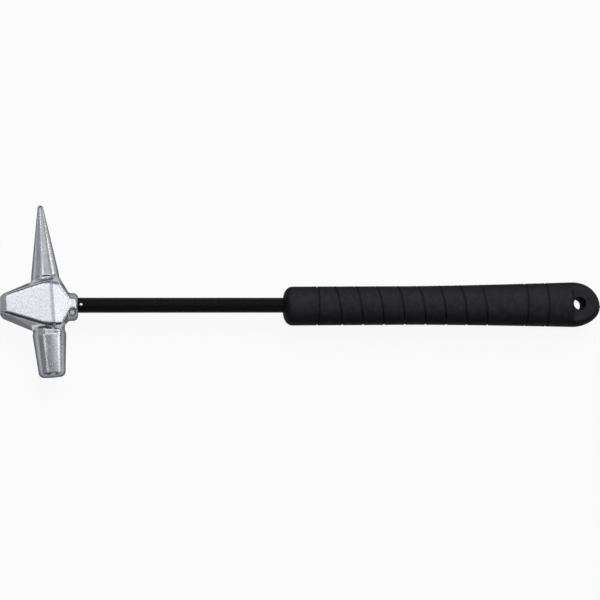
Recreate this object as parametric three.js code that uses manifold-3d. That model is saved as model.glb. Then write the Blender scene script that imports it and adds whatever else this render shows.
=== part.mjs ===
// Inspection hammer: a forged head with a long pick and a short poll, a steel pipe shaft that
// passes through the head, and a moulded rubber grip with a hang hole.
// Millimetres and degrees. The hammer lies on its side: +X runs along the shaft to the grip,
// +Y is the pick side and +Z is up. The pieces are drawn from the point where the strike axis
// crosses the shaft axis, and the whole is then set down with its box's bottom centre at the origin.

import * as THREE from 'three';
import { ConvexGeometry } from 'three/addons/geometries/ConvexGeometry.js';
import { mergeVertices } from 'three/addons/utils/BufferGeometryUtils.js';
import Module from 'manifold-3d';

const wasm = await Module();
wasm.setup();

// Clearances
const fitGap = 0.3; // between a piece and the hole that it sits in
const endGap = 0.3; // past the end of a piece in a blind hole
const cutBeyond = 1; // how far a cut runs past what it cuts

// Head: where its ends lie along the shaft
const noseReach = 30.65; // strike axis to nose end
const collarReach = 20.1; // strike axis to the collar's face
const strikeLean = 4.1; // degrees that the pick leans toward the nose

// Head: the block, a ridged diamond forging
const blockThickness = 26;
const ridgeX = 3.4; // ridge behind the strike axis
const ridgeWidth = 2;
const ridgeLength = 26;
const faceShift = 0.7; // front and back faces sit this far to the pick side
const noseThickness = 19; // at the end of the long face
const noseFaceWidth = 10.5;
const noseBevel = 4.3; // length of the bevel from the long face to the nose end
const noseRim = 0.95; // metal round the eye at the nose end
const noseFlatAngle = 36; // degrees round the eye from the middle of the nose end's flat to its corner
const noseCorner = 2.1; // corner length at the nose end, in the parting plane
const noseFlankWidth = 16.6; // across the parting line, behind the nose corners
const noseFlankShift = -0.5; // its middle, to the poll side
const waistWidth = 24.8; // across the long face, where its edges turn toward the nose
const waistReach = 6.6; // from the ridge forward to the waist
const shoulderWidth = 24.8;
const shoulderReach = 5.4; // from the ridge back to the shoulders
const pickCorner = [5.8, 22.6]; // corner of the parting line inside the pick's root
const pollCorner = [3.8, -22.3]; // and inside the poll's root

// Head: the collar round the shaft
const collarWall = 3.9; // metal round the eye, on average
const collarShift = -1.15; // toward the poll side
const collarRound = 2.7;
const collarFaceWidth = 6.8; // width of the short face where it runs into the collar
const collarFaceLength = 5.2; // from there to the collar's face
const collarFlatWidth = 5; // width of the flat that runs on along the collar's top
const collarFlatDrop = 0.3; // how far that flat has dropped at its end
const collarLength = 5.4; // side of the block to the collar's face
const collarSink = 0.8; // how far the block's sides end below the collar's surface

// Head: pick and poll, measured from the shaft axis along the strike axis
const pickLength = 66.3;
const pickTipRadius = 2;
const pickNeckRadius = 9.3;
const pickNeckHeight = 19;
const pickFlare = 0.6; // how much wider the pick's root is than its neck
const pollLength = 47.5;
const pollFaceRadius = 8.8;
const pollFaceRound = 3.3;
const pollShoulderRadius = 11;
const pollShoulderHeight = 19.5;
const pollNeckDepth = 0.7;
const pollNeckLength = 2.5;
const pollFlare = 0.3; // how much wider the poll's root is than its neck
const rootHeight = 4; // where pick and poll start, inside the block
const flareHeight = 12.2; // where their roots leave the block

// Shaft: a steel pipe, belled out in the nose by a taper plug
const shaftDiameter = 10;
const shaftWall = 1.6;
const shaftVisible = 135.9; // collar face to grip mouth
const shaftRecess = 0.3; // pipe end below the nose end
const flareLength = 9;
const flareGrowth = 0.6; // growth of the pipe's radius over the flare
const plugLength = 13;
const plugLead = 1.2; // chamfer at the plug's inner end
const plugDimpleDiameter = 2; // punch mark in its outer face
const plugDimpleDepth = 0.5;

// Cross pin behind the collar, which stops the head from sliding along the shaft
const pinDiameter = 2;
const pinGap = 1.8; // collar face to pin
const pinProud = 0.25; // beyond the shaft at each end

// Grip: one rubber moulding
const gripLength = 215.8;
const gripWidth = 26; // in the plane of the head, over its front half
const gripButtWidth = 30.4;
const gripDepth = 25.7; // square to that plane
const gripRise = 0.8; // how far its outside climbs to the pick side over its length
const gripFlareStart = 85; // from the mouth
const gripFlarePower = 1.4;
const mouthRim = 0.3; // flat rim round the shaft at the front end
const mouthRound = 5.8; // length of the rounded front end
const buttLength = 19; // length of the domed end
const buttDrop = 1.5; // how far the dome's tip lies to the poll side of the grip's middle
const buttDropPower = 4;
const tabThickness = 16;
const tabLength = 21.6; // from the step to the butt end
const tabFillet = 4;
const solidEnd = 24; // rubber between the pipe's end and the tab's step
const hangHoleDiameter = 8;
const hangHoleInset = 15.6; // hole centre to butt end
const hangHoleChamfer = 0.6;
const gateMarkDiameter = 1.4;
const gateMarkLength = 0.8;
const gateMarkSink = 1.6; // how deep it starts below the butt end

// Grip: the moulded wrap lines, single rings at both ends and one spiral between them
const mouthRingPlace = 22.5; // from the mouth
const buttRingPlaces = [52, 37.8]; // from the butt end
const wrapGap = 1.4; // plain surface between the front ring and the start of the spiral
const wrapPitch = 14.1;
const wrapSway = 0.035; // the line lags by this share of the pitch on the side that faces up
const wrapLead = 0.3; // turns that the spiral makes before it first crosses the pick side
const wrapFade = 0.12; // turns over which the line rises and dies away
const grooveDepth = 0.45;
const grooveHalfWidth = 0.9;
const lipHeight = 0.15;
const lipReach = 2.2; // groove centre to the plain surface

// Facets
const headSegments = 44;
const shaftSegments = 40;
const gripSegments = 32;
const pinSegments = 16;
const arcSteps = 4;
const mouthSteps = 8;
const buttSteps = 12;
const mergeReach = 1e-4; // corners closer than this are one

const lean = THREE.MathUtils.degToRad(strikeLean);
const shaftRadius = shaftDiameter / 2;
const boreRadius = shaftRadius - shaftWall;
const eyeRadius = shaftRadius + fitGap;
const noseEndRadius = eyeRadius + flareGrowth + noseRim;
const collarRadius = eyeRadius + collarWall;
const mouthX = collarReach + shaftVisible;
const buttX = mouthX + gripLength;
const shaftStartX = -noseReach + shaftRecess;
const shaftEndX = buttX - tabLength - solidEnd;
const flareEndX = -noseReach + flareLength;

// A closed mesh becomes a solid once its shared corners are merged
function toSolid(geometry) {
  const plain = geometry.clone();
  plain.deleteAttribute('normal');
  plain.deleteAttribute('uv');
  const merged = mergeVertices(plain, mergeReach);
  const index = merged.index.array;
  const triangles = [];
  for (let i = 0; i < index.length; i += 3) {
    const [a, b, c] = [index[i], index[i + 1], index[i + 2]];
    if (a !== b && b !== c && c !== a) {
      triangles.push(a, b, c);
    }
  }
  return new wasm.Manifold(new wasm.Mesh({
    numProp: 3,
    vertProperties: new Float32Array(merged.attributes.position.array),
    triVerts: new Uint32Array(triangles),
  }));
}

function toGeometry(solid) {
  const mesh = solid.getMesh();
  const geometry = new THREE.BufferGeometry();
  geometry.setAttribute('position', new THREE.BufferAttribute(mesh.vertProperties, 3));
  geometry.setIndex(new THREE.BufferAttribute(mesh.triVerts, 1));
  geometry.computeVertexNormals();
  return geometry;
}

// Points of a profile are [radius, distance along the axis]
function lathe(profile, segments) {
  const points = profile.map(([radius, along]) => new THREE.Vector2(radius, along));
  return new THREE.LatheGeometry(points, segments);
}

function latheAlongX(profile, segments) {
  return lathe(profile, segments).rotateZ(-Math.PI / 2);
}

// Points of a quarter ellipse from [radius, start] in to [radius - inward, start + forward]
function roundedEnd(radius, start, inward, forward, steps) {
  const points = [];
  for (let i = 0; i <= steps; i += 1) {
    const turn = (i / steps) * (Math.PI / 2);
    points.push([radius - inward * (1 - Math.cos(turn)), start + forward * Math.sin(turn)]);
  }
  return points;
}

// Points of a root that narrows from its flare to its neck, ever less steeply
function flaredRoot(neckRadius, flare, start, end) {
  const points = [];
  for (let i = 0; i <= arcSteps; i += 1) {
    const share = i / arcSteps;
    points.push([neckRadius + flare * (1 - share) ** 2, start + (end - start) * share]);
  }
  return points;
}

// Radius by which the flare has grown at a place along the shaft
function flareAt(x) {
  return flareGrowth * THREE.MathUtils.clamp((flareEndX - x) / flareLength, 0, 1);
}

// The block: two ridged faces over a wider parting line, as the hull of its corners
function blockGeometry() {
  const leaned = (x, y, z) => new THREE.Vector3(x - y * Math.tan(lean), y, z);
  const ridgeZ = blockThickness / 2;
  const noseFaceX = -noseReach + noseBevel;
  const collarFaceX = collarReach - collarFaceLength;
  const longSlope = (ridgeZ - noseThickness / 2) / (ridgeX - ridgeWidth / 2 - noseFaceX);
  const shortSlope = (ridgeZ - collarRadius) / (collarFaceX - ridgeX - ridgeWidth / 2);
  const waistZ = ridgeZ - longSlope * (waistReach - ridgeWidth / 2);
  const shoulderZ = ridgeZ - shortSlope * (shoulderReach - ridgeWidth / 2);
  const noseEndY = noseEndRadius * Math.tan(THREE.MathUtils.degToRad(noseFlatAngle));
  const collarSideY = collarRadius - collarSink;
  const collarFlatZ = collarRadius - collarFlatDrop;
  const points = [new THREE.Vector3(...pickCorner, 0), new THREE.Vector3(...pollCorner, 0)];
  for (const side of [-1, 1]) {
    const flankY = (halfWidth) => noseFlankShift + side * halfWidth;
    const faceY = (width) => faceShift + side * width / 2;
    points.push(new THREE.Vector3(-noseReach, flankY(noseEndRadius), 0));
    points.push(new THREE.Vector3(-noseReach + noseCorner, flankY(noseFlankWidth / 2), 0));
    points.push(new THREE.Vector3(collarReach - collarLength, collarShift + side * collarSideY, 0));
    for (const face of [-1, 1]) {
      points.push(new THREE.Vector3(-noseReach, side * noseEndY, face * noseEndRadius));
      points.push(leaned(noseFaceX, faceY(noseFaceWidth), face * noseThickness / 2));
      points.push(leaned(ridgeX - waistReach, faceY(waistWidth), face * waistZ));
      points.push(leaned(ridgeX - ridgeWidth / 2, faceY(ridgeLength), face * ridgeZ));
      points.push(leaned(ridgeX + ridgeWidth / 2, faceY(ridgeLength), face * ridgeZ));
      points.push(leaned(ridgeX + shoulderReach, faceY(shoulderWidth), face * shoulderZ));
      points.push(new THREE.Vector3(collarFaceX, faceY(collarFaceWidth), face * collarRadius));
      points.push(new THREE.Vector3(collarReach - collarRound, faceY(collarFlatWidth), face * collarFlatZ));
    }
  }
  return new ConvexGeometry(points);
}

function pickGeometry() {
  const tipStart = pickLength - pickTipRadius;
  const profile = [
    [0, rootHeight],
    [pickNeckRadius + pickFlare, rootHeight],
    ...flaredRoot(pickNeckRadius, pickFlare, flareHeight, pickNeckHeight),
    ...roundedEnd(pickTipRadius, tipStart, pickTipRadius, pickTipRadius, arcSteps),
  ];
  return lathe(profile, headSegments).rotateZ(lean);
}

function pollGeometry() {
  const neckRadius = pollShoulderRadius - pollNeckDepth;
  const profile = [
    [0, rootHeight],
    [neckRadius + pollFlare, rootHeight],
    ...flaredRoot(neckRadius, pollFlare, flareHeight, pollShoulderHeight - pollNeckLength),
    [pollShoulderRadius, pollShoulderHeight],
    ...roundedEnd(pollFaceRadius, pollLength - pollFaceRound, pollFaceRound, pollFaceRound, arcSteps),
    [0, pollLength],
  ];
  return lathe(profile, headSegments).rotateZ(Math.PI + lean);
}

function collarGeometry() {
  const profile = [
    [0, 0],
    [collarRadius, 0],
    ...roundedEnd(collarRadius, collarReach - collarRound, collarRound, collarRound, arcSteps),
    [0, collarReach],
  ];
  return latheAlongX(profile, headSegments).translate(0, collarShift, 0);
}

function eyeGeometry() {
  const profile = [
    [0, -noseReach - cutBeyond],
    [eyeRadius + flareGrowth, -noseReach - cutBeyond],
    [eyeRadius + flareGrowth, -noseReach],
    [eyeRadius, flareEndX],
    [eyeRadius, collarReach + cutBeyond],
    [0, collarReach + cutBeyond],
  ];
  return latheAlongX(profile, shaftSegments);
}

function headGeometry() {
  const forged = toSolid(blockGeometry())
    .add(toSolid(pickGeometry()))
    .add(toSolid(pollGeometry()))
    .add(toSolid(collarGeometry()));
  return toGeometry(forged.subtract(toSolid(eyeGeometry())));
}

// A bar along Z through the shaft, for the pin and for the hole that it sits in
function crossBar(radius, length) {
  const bar = new THREE.CylinderGeometry(radius, radius, length, pinSegments);
  return bar.rotateX(Math.PI / 2).translate(collarReach + pinGap, 0, 0);
}

function shaftGeometry() {
  const profile = [
    [boreRadius + flareAt(shaftStartX), shaftStartX],
    [shaftRadius + flareAt(shaftStartX), shaftStartX],
    [shaftRadius, flareEndX],
    [shaftRadius, shaftEndX],
    [boreRadius, shaftEndX],
    [boreRadius, flareEndX],
    [boreRadius + flareAt(shaftStartX), shaftStartX],
  ];
  const pipe = toSolid(latheAlongX(profile, shaftSegments));
  const pinHole = toSolid(crossBar(pinDiameter / 2 + fitGap, shaftDiameter + 2 * cutBeyond));
  return toGeometry(pipe.subtract(pinHole));
}

function plugGeometry() {
  const innerX = shaftStartX + plugLength;
  const outerRadius = boreRadius + flareAt(shaftStartX) - fitGap;
  const innerRadius = boreRadius - fitGap;
  const profile = [
    [0, shaftStartX + plugDimpleDepth],
    [plugDimpleDiameter / 2, shaftStartX],
    [outerRadius, shaftStartX],
    [innerRadius, flareEndX],
    [innerRadius, innerX - plugLead],
    [innerRadius - plugLead, innerX],
    [0, innerX],
  ];
  return latheAlongX(profile, shaftSegments);
}

function pinGeometry() {
  return crossBar(pinDiameter / 2, shaftDiameter + 2 * pinProud);
}

// How far a place along the grip lies into the domed end, as a share of the dome's length
function intoButt(along) {
  return Math.max(0, along - gripLength + buttLength) / buttLength;
}

// How far the middle of the grip lies to the pick side, at a distance from its mouth
function gripMiddle(along) {
  return gripRise * (along / gripLength - 1 / 2) - buttDrop * intoButt(along) ** buttDropPower;
}

// Half width of the grip at a distance from its mouth, before the rounded ends
function gripHalfWidth(along) {
  const flareEnd = gripLength - buttLength;
  const share = THREE.MathUtils.clamp((along - gripFlareStart) / (flareEnd - gripFlareStart), 0, 1);
  return (gripWidth + (gripButtWidth - gripWidth) * share ** gripFlarePower) / 2;
}

// One point on the grip's outside. The angle runs from the pick side over the top.
function gripPoint(along, angle, relief) {
  const mouthRadius = shaftRadius + fitGap + mouthRim;
  let width = gripHalfWidth(along);
  let depth = gripDepth / 2;
  if (along < mouthRound) {
    const turn = Math.acos(1 - along / mouthRound);
    width = mouthRadius + (width - mouthRadius) * Math.sin(turn);
    depth = mouthRadius + (depth - mouthRadius) * Math.sin(turn);
  }
  const domeShare = Math.sqrt(1 - intoButt(along) ** 2);
  width *= domeShare;
  depth *= domeShare;
  return [
    mouthX + along,
    gripMiddle(along) + (width + relief) * Math.cos(angle),
    (depth + relief) * Math.sin(angle),
  ];
}

// Height of the surface at a distance from a wrap line's centre, as [distance, height] rows
const grooveRows = [
  [-lipReach, 0],
  [-grooveHalfWidth, lipHeight],
  [0, -grooveDepth],
  [grooveHalfWidth, lipHeight],
  [lipReach, 0],
];

// How far the spiral has come after some turns, from where it first crosses the pick side
function wrapAdvance(turns) {
  return wrapPitch * (turns - wrapSway * (1 - Math.cos(turns * 2 * Math.PI)));
}

// The spiral makes as many whole turns as end a pitch short of the butt rings
const wrapStart = mouthRingPlace + 2 * lipReach + wrapGap - wrapAdvance(-wrapLead);
const wrapRoom = gripLength - buttRingPlaces[0] - wrapStart;
const wrapTurns = Math.floor(wrapRoom / wrapPitch - 1 + wrapLead);

// The outside of the grip: rings up to the spiral, rows that follow the spiral, and rings again
function gripSkinGeometry() {
  const vertices = [];
  const triangles = [];
  const angleOf = (m) => (m / gripSegments - wrapLead) * 2 * Math.PI;
  const addPoint = (point) => {
    vertices.push(...point);
    return vertices.length / 3 - 1;
  };
  const addRing = (along, relief = 0) => {
    const ring = [];
    for (let m = 0; m < gripSegments; m += 1) {
      ring.push(addPoint(gripPoint(along, angleOf(m), relief)));
    }
    ring.push(ring[0]);
    return ring;
  };
  const joinLoops = (first, second) => {
    for (let m = 0; m < gripSegments; m += 1) {
      triangles.push(first[m], first[m + 1], second[m]);
      triangles.push(first[m + 1], second[m + 1], second[m]);
    }
  };
  const joinRings = (rings) => {
    for (let i = 0; i + 1 < rings.length; i += 1) {
      joinLoops(rings[i], rings[i + 1]);
    }
  };
  const addWrapRing = (place) => grooveRows.map(([step, height]) => addRing(place + step, height));

  // The rows of the spiral: each one runs on into the row that lies one turn further
  const rowsPerTurn = grooveRows.length;
  const lastRow = wrapTurns * rowsPerTurn;
  const rowPoint = (row, m) => {
    const turns = Math.floor(row / rowsPerTurn) + m / gripSegments;
    const [step, height] = grooveRows[row % rowsPerTurn];
    const rise = THREE.MathUtils.clamp(Math.min(turns, wrapTurns - turns) / wrapFade, 0, 1);
    return gripPoint(wrapStart + wrapAdvance(turns - wrapLead) + step, angleOf(m), height * rise);
  };
  const rows = [];
  for (let row = 0; row <= lastRow + rowsPerTurn; row += 1) {
    const length = row <= lastRow ? gripSegments : 1;
    rows.push(Array.from({ length }, (_, m) => addPoint(rowPoint(row, m))));
  }
  for (let row = 0; row <= lastRow; row += 1) {
    rows[row].push(rows[row + rowsPerTurn][0]);
  }
  for (let row = 0; row < lastRow; row += 1) {
    joinLoops(rows[row], rows[row + 1]);
  }

  // Front end
  const front = [];
  for (let i = 0; i <= mouthSteps; i += 1) {
    front.push(addRing(mouthRound * (1 - Math.cos((i / mouthSteps) * (Math.PI / 2)))));
  }
  front.push(...addWrapRing(mouthRingPlace));
  joinRings(front);
  const frontCentre = addPoint([mouthX, gripMiddle(0), 0]);
  for (let m = 0; m < gripSegments; m += 1) {
    triangles.push(frontCentre, front[0][m + 1], front[0][m]);
  }
  const beforeWrap = front[front.length - 1];
  joinLoops(beforeWrap, rows[0]);
  for (let row = 0; row < rowsPerTurn; row += 1) {
    triangles.push(beforeWrap[0], rows[row][0], rows[row + 1][0]);
  }

  // Butt end
  const back = buttRingPlaces.flatMap((place) => addWrapRing(gripLength - place));
  for (let i = 0; i < buttSteps; i += 1) {
    const reach = Math.sin((i / buttSteps) * (Math.PI / 2));
    back.push(addRing(gripLength - buttLength + buttLength * reach));
  }
  joinRings(back);
  joinLoops(rows[lastRow], back[0]);
  for (let row = lastRow; row < lastRow + rowsPerTurn; row += 1) {
    triangles.push(rows[row + 1][0], rows[row][0], back[0][0]);
  }
  const buttCentre = addPoint([buttX, gripMiddle(gripLength), 0]);
  const lastRing = back[back.length - 1];
  for (let m = 0; m < gripSegments; m += 1) {
    triangles.push(buttCentre, lastRing[m], lastRing[m + 1]);
  }

  const geometry = new THREE.BufferGeometry();
  geometry.setAttribute('position', new THREE.Float32BufferAttribute(vertices, 3));
  geometry.setIndex(triangles);
  return geometry;
}

// What is cut away above the tab's upper face, with the fillet at its step
function tabCutGeometry() {
  const stepX = buttX - tabLength;
  const faceZ = tabThickness / 2;
  const topZ = gripDepth / 2 + cutBeyond;
  const endX = buttX + cutBeyond;
  const outline = new THREE.Shape();
  outline.moveTo(stepX, topZ);
  outline.lineTo(stepX, faceZ + tabFillet);
  outline.absarc(stepX + tabFillet, faceZ + tabFillet, tabFillet, Math.PI, Math.PI * 1.5, false);
  outline.lineTo(endX, faceZ);
  outline.lineTo(endX, topZ);
  outline.closePath();
  const depth = gripButtWidth + 2 * (gripRise + cutBeyond);
  const options = { depth, bevelEnabled: false, curveSegments: arcSteps };
  return new THREE.ExtrudeGeometry(outline, options).rotateX(Math.PI / 2).translate(0, depth / 2, 0);
}

// Its chamfers run on past the tab's faces by their own length
function hangHoleGeometry() {
  const radius = hangHoleDiameter / 2;
  const faceZ = tabThickness / 2;
  const wide = radius + 2 * hangHoleChamfer;
  const profile = [
    [0, -faceZ - hangHoleChamfer],
    [wide, -faceZ - hangHoleChamfer],
    [radius, -faceZ + hangHoleChamfer],
    [radius, faceZ - hangHoleChamfer],
    [wide, faceZ + hangHoleChamfer],
    [0, faceZ + hangHoleChamfer],
  ];
  const holeAlong = gripLength - hangHoleInset;
  const hole = lathe(profile, gripSegments).rotateX(Math.PI / 2);
  return hole.translate(mouthX + holeAlong, gripMiddle(holeAlong), 0);
}

function gripGeometry() {
  const boreProfile = [
    [0, mouthX - cutBeyond],
    [shaftRadius + fitGap, mouthX - cutBeyond],
    [shaftRadius + fitGap, shaftEndX + endGap],
    [0, shaftEndX + endGap],
  ];
  const gateMarkRadius = gateMarkDiameter / 2;
  const gateMarkProfile = [
    [0, buttX - gateMarkSink],
    [gateMarkRadius, buttX - gateMarkSink],
    ...roundedEnd(gateMarkRadius, buttX, gateMarkRadius, gateMarkLength, arcSteps),
  ];
  const gateMark = latheAlongX(gateMarkProfile, pinSegments).translate(0, gripMiddle(gripLength), 0);
  const upperCut = toSolid(tabCutGeometry());
  const lowerCut = toSolid(tabCutGeometry().rotateX(Math.PI));
  const grip = toSolid(gripSkinGeometry())
    .add(toSolid(gateMark))
    .subtract(toSolid(latheAlongX(boreProfile, shaftSegments)))
    .subtract(upperCut)
    .subtract(lowerCut)
    .subtract(toSolid(hangHoleGeometry()));
  return toGeometry(grip);
}

function piece(name, geometry, color, roughness, metalness) {
  const material = new THREE.MeshStandardMaterial({ color, roughness, metalness });
  const mesh = new THREE.Mesh(geometry, material);
  mesh.name = name;
  return mesh;
}

const hammer = new THREE.Group();
hammer.add(piece('head', headGeometry(), 0xd6d7dc, 0.3, 1));
hammer.add(piece('shaft_pipe', shaftGeometry(), 0x161517, 0.35, 0.2));
hammer.add(piece('expander_plug', plugGeometry(), 0xa9abb0, 0.4, 1));
hammer.add(piece('stop_pin', pinGeometry(), 0xdadbdf, 0.3, 1));
hammer.add(piece('grip', gripGeometry(), 0x232226, 0.85, 0));

// Set down with the bottom centre of its box at the origin
const box = new THREE.Box3().setFromObject(hammer);
const centre = box.getCenter(new THREE.Vector3());
hammer.position.set(-centre.x, -centre.y, -box.min.z);
hammer.updateMatrixWorld(true);

export default hammer;
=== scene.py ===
from math import acos, asin, cos, exp, floor, pi, radians, sin, sqrt, tan, tau

import bmesh
import bpy
from mathutils import Matrix, Vector
from mathutils.bvhtree import BVHTree


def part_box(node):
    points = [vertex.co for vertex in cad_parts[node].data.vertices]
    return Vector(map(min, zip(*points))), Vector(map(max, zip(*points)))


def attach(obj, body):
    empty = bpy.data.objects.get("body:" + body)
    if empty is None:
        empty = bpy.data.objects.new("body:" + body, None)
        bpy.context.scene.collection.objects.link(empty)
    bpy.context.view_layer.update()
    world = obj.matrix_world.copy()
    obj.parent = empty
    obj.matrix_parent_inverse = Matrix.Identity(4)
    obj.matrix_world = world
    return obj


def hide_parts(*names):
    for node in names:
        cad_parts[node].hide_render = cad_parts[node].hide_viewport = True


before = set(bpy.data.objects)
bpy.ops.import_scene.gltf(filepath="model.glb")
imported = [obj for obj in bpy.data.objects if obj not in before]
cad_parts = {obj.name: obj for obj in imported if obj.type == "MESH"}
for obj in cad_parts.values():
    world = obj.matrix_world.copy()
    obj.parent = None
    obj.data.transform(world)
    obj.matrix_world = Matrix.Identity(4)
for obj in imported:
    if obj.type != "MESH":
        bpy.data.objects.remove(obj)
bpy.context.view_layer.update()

mm = 0.001
shaftLow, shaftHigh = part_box("shaft_pipe")
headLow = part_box("head")[0]
noseReach = 30.65  # strike axis to the nose end
crossing = Vector((
    headLow.x + noseReach * mm,
    (shaftLow.y + shaftHigh.y) / 2,
    (shaftLow.z + shaftHigh.z) / 2,
))
toFrame = Matrix.Translation(crossing) @ Matrix.Scale(mm, 4)
turnToX = Matrix.Rotation(pi / 2, 4, "Y")  # from the Z axis, where profiles are spun, to the shaft
poleWeld = 1e-5  # closes the ends of a spun profile


# Mesh helpers

def ramp(value, start, end):
    # share of the way from start to end, where end may be the lower one
    return max(0, min(1, (value - start) / (end - start)))


def spinProfile(profile, steps):
    # profile points are [radius, distance along the axis]
    bm = bmesh.new()
    points = [bm.verts.new((radius, 0, along)) for radius, along in profile]
    lines = [bm.edges.new(pair) for pair in zip(points, points[1:])]
    bmesh.ops.spin(
        bm, geom=points + lines, cent=(0, 0, 0), axis=(0, 0, 1), angle=tau, steps=steps,
        use_merge=True,
    )
    bmesh.ops.remove_doubles(bm, verts=bm.verts, dist=poleWeld)
    bmesh.ops.recalc_face_normals(bm, faces=bm.faces)
    return bm


def quarterRound(radius, start, inward, forward, steps):
    # from [radius, start] in to [radius - inward, start + forward]
    turns = [i / steps * pi / 2 for i in range(steps + 1)]
    return [[radius - inward * (1 - cos(turn)), start + forward * sin(turn)] for turn in turns]


def bothEnds(half):
    # the whole profile of a bar with two like ends, from the half past its middle
    return [[radius, -along] for radius, along in reversed(half)] + half


def toObject(bm, name):
    mesh = bpy.data.meshes.new(name)
    bm.to_mesh(mesh)
    bm.free()
    piece = bpy.data.objects.new(name, mesh)
    bpy.context.scene.collection.objects.link(piece)
    return piece


def spinPiece(name, profile, steps, matrix):
    bm = spinProfile(profile, steps)
    bmesh.ops.transform(bm, verts=bm.verts, matrix=matrix)
    return toObject(bm, name)


def applyModifiers(piece):
    graph = bpy.context.evaluated_depsgraph_get()
    done = bpy.data.meshes.new_from_object(piece.evaluated_get(graph))
    piece.modifiers.clear()
    piece.data = done


def combine(piece, other, operation):
    join = piece.modifiers.new("join", "BOOLEAN")
    join.operation = operation
    join.solver = "MANIFOLD"
    join.object = other
    applyModifiers(piece)
    bpy.data.objects.remove(other)


def surfaceTree(piece):
    corners = [vert.co for vert in piece.data.vertices]
    return BVHTree.FromPolygons(corners, [face.vertices[:] for face in piece.data.polygons])


def smoothVerts(bm, verts, rounds):
    for _ in range(rounds):
        bmesh.ops.smooth_vert(
            bm, verts=verts, factor=0.5, use_axis_x=True, use_axis_y=True, use_axis_z=True,
        )


def place(piece, node, material, sharpAngle):
    piece.data.transform(toFrame)
    piece.data.name = piece.name
    piece.data.shade_smooth()
    piece.data.set_sharp_from_angle(angle=radians(sharpAngle))
    piece.data.materials.clear()
    piece.data.materials.append(material)
    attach(piece, "root")
    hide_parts(node)
    print("made", piece.name, "with", len(piece.data.polygons), "faces")


# Material helpers

noiseLow, noiseHigh = 0.3, 0.7  # nearly all of a noise lies between these


class Wire:
    # one output socket of a node tree, with arithmetic on it
    def __init__(self, tree, socket=None):
        self.tree = tree
        self.socket = socket

    def node(self, kind, settings=None, values=None, output=0):
        made = self.tree.nodes.new(kind)
        for name, value in (settings or {}).items():
            setattr(made, name, value)
        for name, value in (values or {}).items():
            if isinstance(value, Wire):
                self.tree.links.new(value.socket, made.inputs[name])
            else:
                made.inputs[name].default_value = value
        return Wire(self.tree, made.outputs[output] if made.outputs else None)

    def maths(self, operation, *terms):
        return self.node("ShaderNodeMath", {"operation": operation}, dict(enumerate(terms)))

    def __add__(self, other):
        return self.maths("ADD", self, other)

    def __radd__(self, other):
        return self.maths("ADD", other, self)

    def __sub__(self, other):
        return self.maths("SUBTRACT", self, other)

    def __rsub__(self, other):
        return self.maths("SUBTRACT", other, self)

    def __mul__(self, other):
        return self.maths("MULTIPLY", self, other)

    def __rmul__(self, other):
        return self.maths("MULTIPLY", other, self)

    def between(self, low, high, outLow=0.0, outHigh=1.0):
        # smooth step from outLow to outHigh as the value passes from low to high
        values = {
            "Value": self, "From Min": low, "From Max": high, "To Min": outLow, "To Max": outHigh,
        }
        return self.node("ShaderNodeMapRange", {"interpolation_type": "SMOOTHSTEP"}, values)


def emptyTree(owner):
    # the bench on which a material's or world's nodes are made
    owner.use_nodes = True
    owner.node_tree.nodes.clear()
    return Wire(owner.node_tree)


def startMaterial(name, centre):
    material = bpy.data.materials.new(name)
    bench = emptyTree(material)
    objectPlace = bench.node("ShaderNodeTexCoord", output="Object")
    values = {"Vector": objectPlace, "Location": -centre}
    spot = bench.node("ShaderNodeMapping", {"vector_type": "POINT"}, values)
    return material, bench, spot


def noise(bench, spot, grain, detail=3.0):
    # grain is the size of a spot in metres
    values = {"Vector": spot, "Scale": 1 / grain, "Detail": detail, "Roughness": 0.55}
    return bench.node("ShaderNodeTexNoise", {"noise_dimensions": "3D"}, values)


def attribute(bench, name, output="Fac"):
    return bench.node("ShaderNodeAttribute", {"attribute_name": name}, output=output)


def mixColours(bench, share, first, second):
    # sockets 6 and 7 of the node are its two colours, and output 2 is their mix
    colours = [(*shade, 1) if isinstance(shade, tuple) else shade for shade in (first, second)]
    values = {"Factor": share, 6: colours[0], 7: colours[1]}
    return bench.node("ShaderNodeMix", {"data_type": "RGBA"}, values, output=2)


def roughBetween(pattern, look):
    return pattern.between(noiseLow, noiseHigh, look["roughLow"], look["roughHigh"])


def finishMaterial(bench, colour, rough, height, constants):
    # heights are in metres, so the bump has a distance of 1
    bump = bench.node("ShaderNodeBump", None, {"Height": height, "Distance": 1.0})
    values = {"Base Color": colour, "Roughness": rough, "Normal": bump}
    surface = bench.node("ShaderNodeBsdfPrincipled", None, values | constants)
    bench.node("ShaderNodeOutputMaterial", None, {"Surface": surface})


# Head: one forging, satin chrome

headLook = {
    "bright": (0.605, 0.613, 0.645),
    "dull": (0.48, 0.488, 0.515),
    "edgeTint": (0.45, 0.45, 0.47, 1),
    "roughLow": 0.20, "roughHigh": 0.32,
    # forged skin
    "sandGrain": 0.8 * mm, "sandDepth": 0.0065 * mm,
    "castGrain": 2.2 * mm, "castDepth": 0.05 * mm, "castRange": (0.5, 0.75), "castShare": 0.30,
    "stainGrain": 13.2 * mm, "stainRange": (0.42, 0.66), "stainShare": 0.35,
    # drawn lines of the pick and the poll
    "drawnRange": (15 * mm, 19 * mm), "drawnSmoothing": 0.78, "drawnRough": 0.02,
    "streakRing": 5 * mm, "streakGrain": 1.5 * mm, "streakStretch": 10,
    "streakDepth": 0.06 * mm, "streakRange": (0.42, 0.62), "streakShare": 0.8,
    # painted shade on the flanks, a painted darker reflection on the crests, and wear from use
    "paintedFlankShade": (0.10, 0.10, 0.108), "paintedFlankShadeShare": 0.85, "flankRough": 0.12,
    "crestShade": (0.325, 0.335, 0.37), "crestShare": 0.9,
    "wornTip": (0.10, 0.095, 0.095), "tipShare": 0.8, "tipRough": 0.1,
    "tipRange": (1.36 * mm, 3.4 * mm), "faceRange": (8.84 * mm, 11.56 * mm), "faceRough": 0.08,
}

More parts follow.
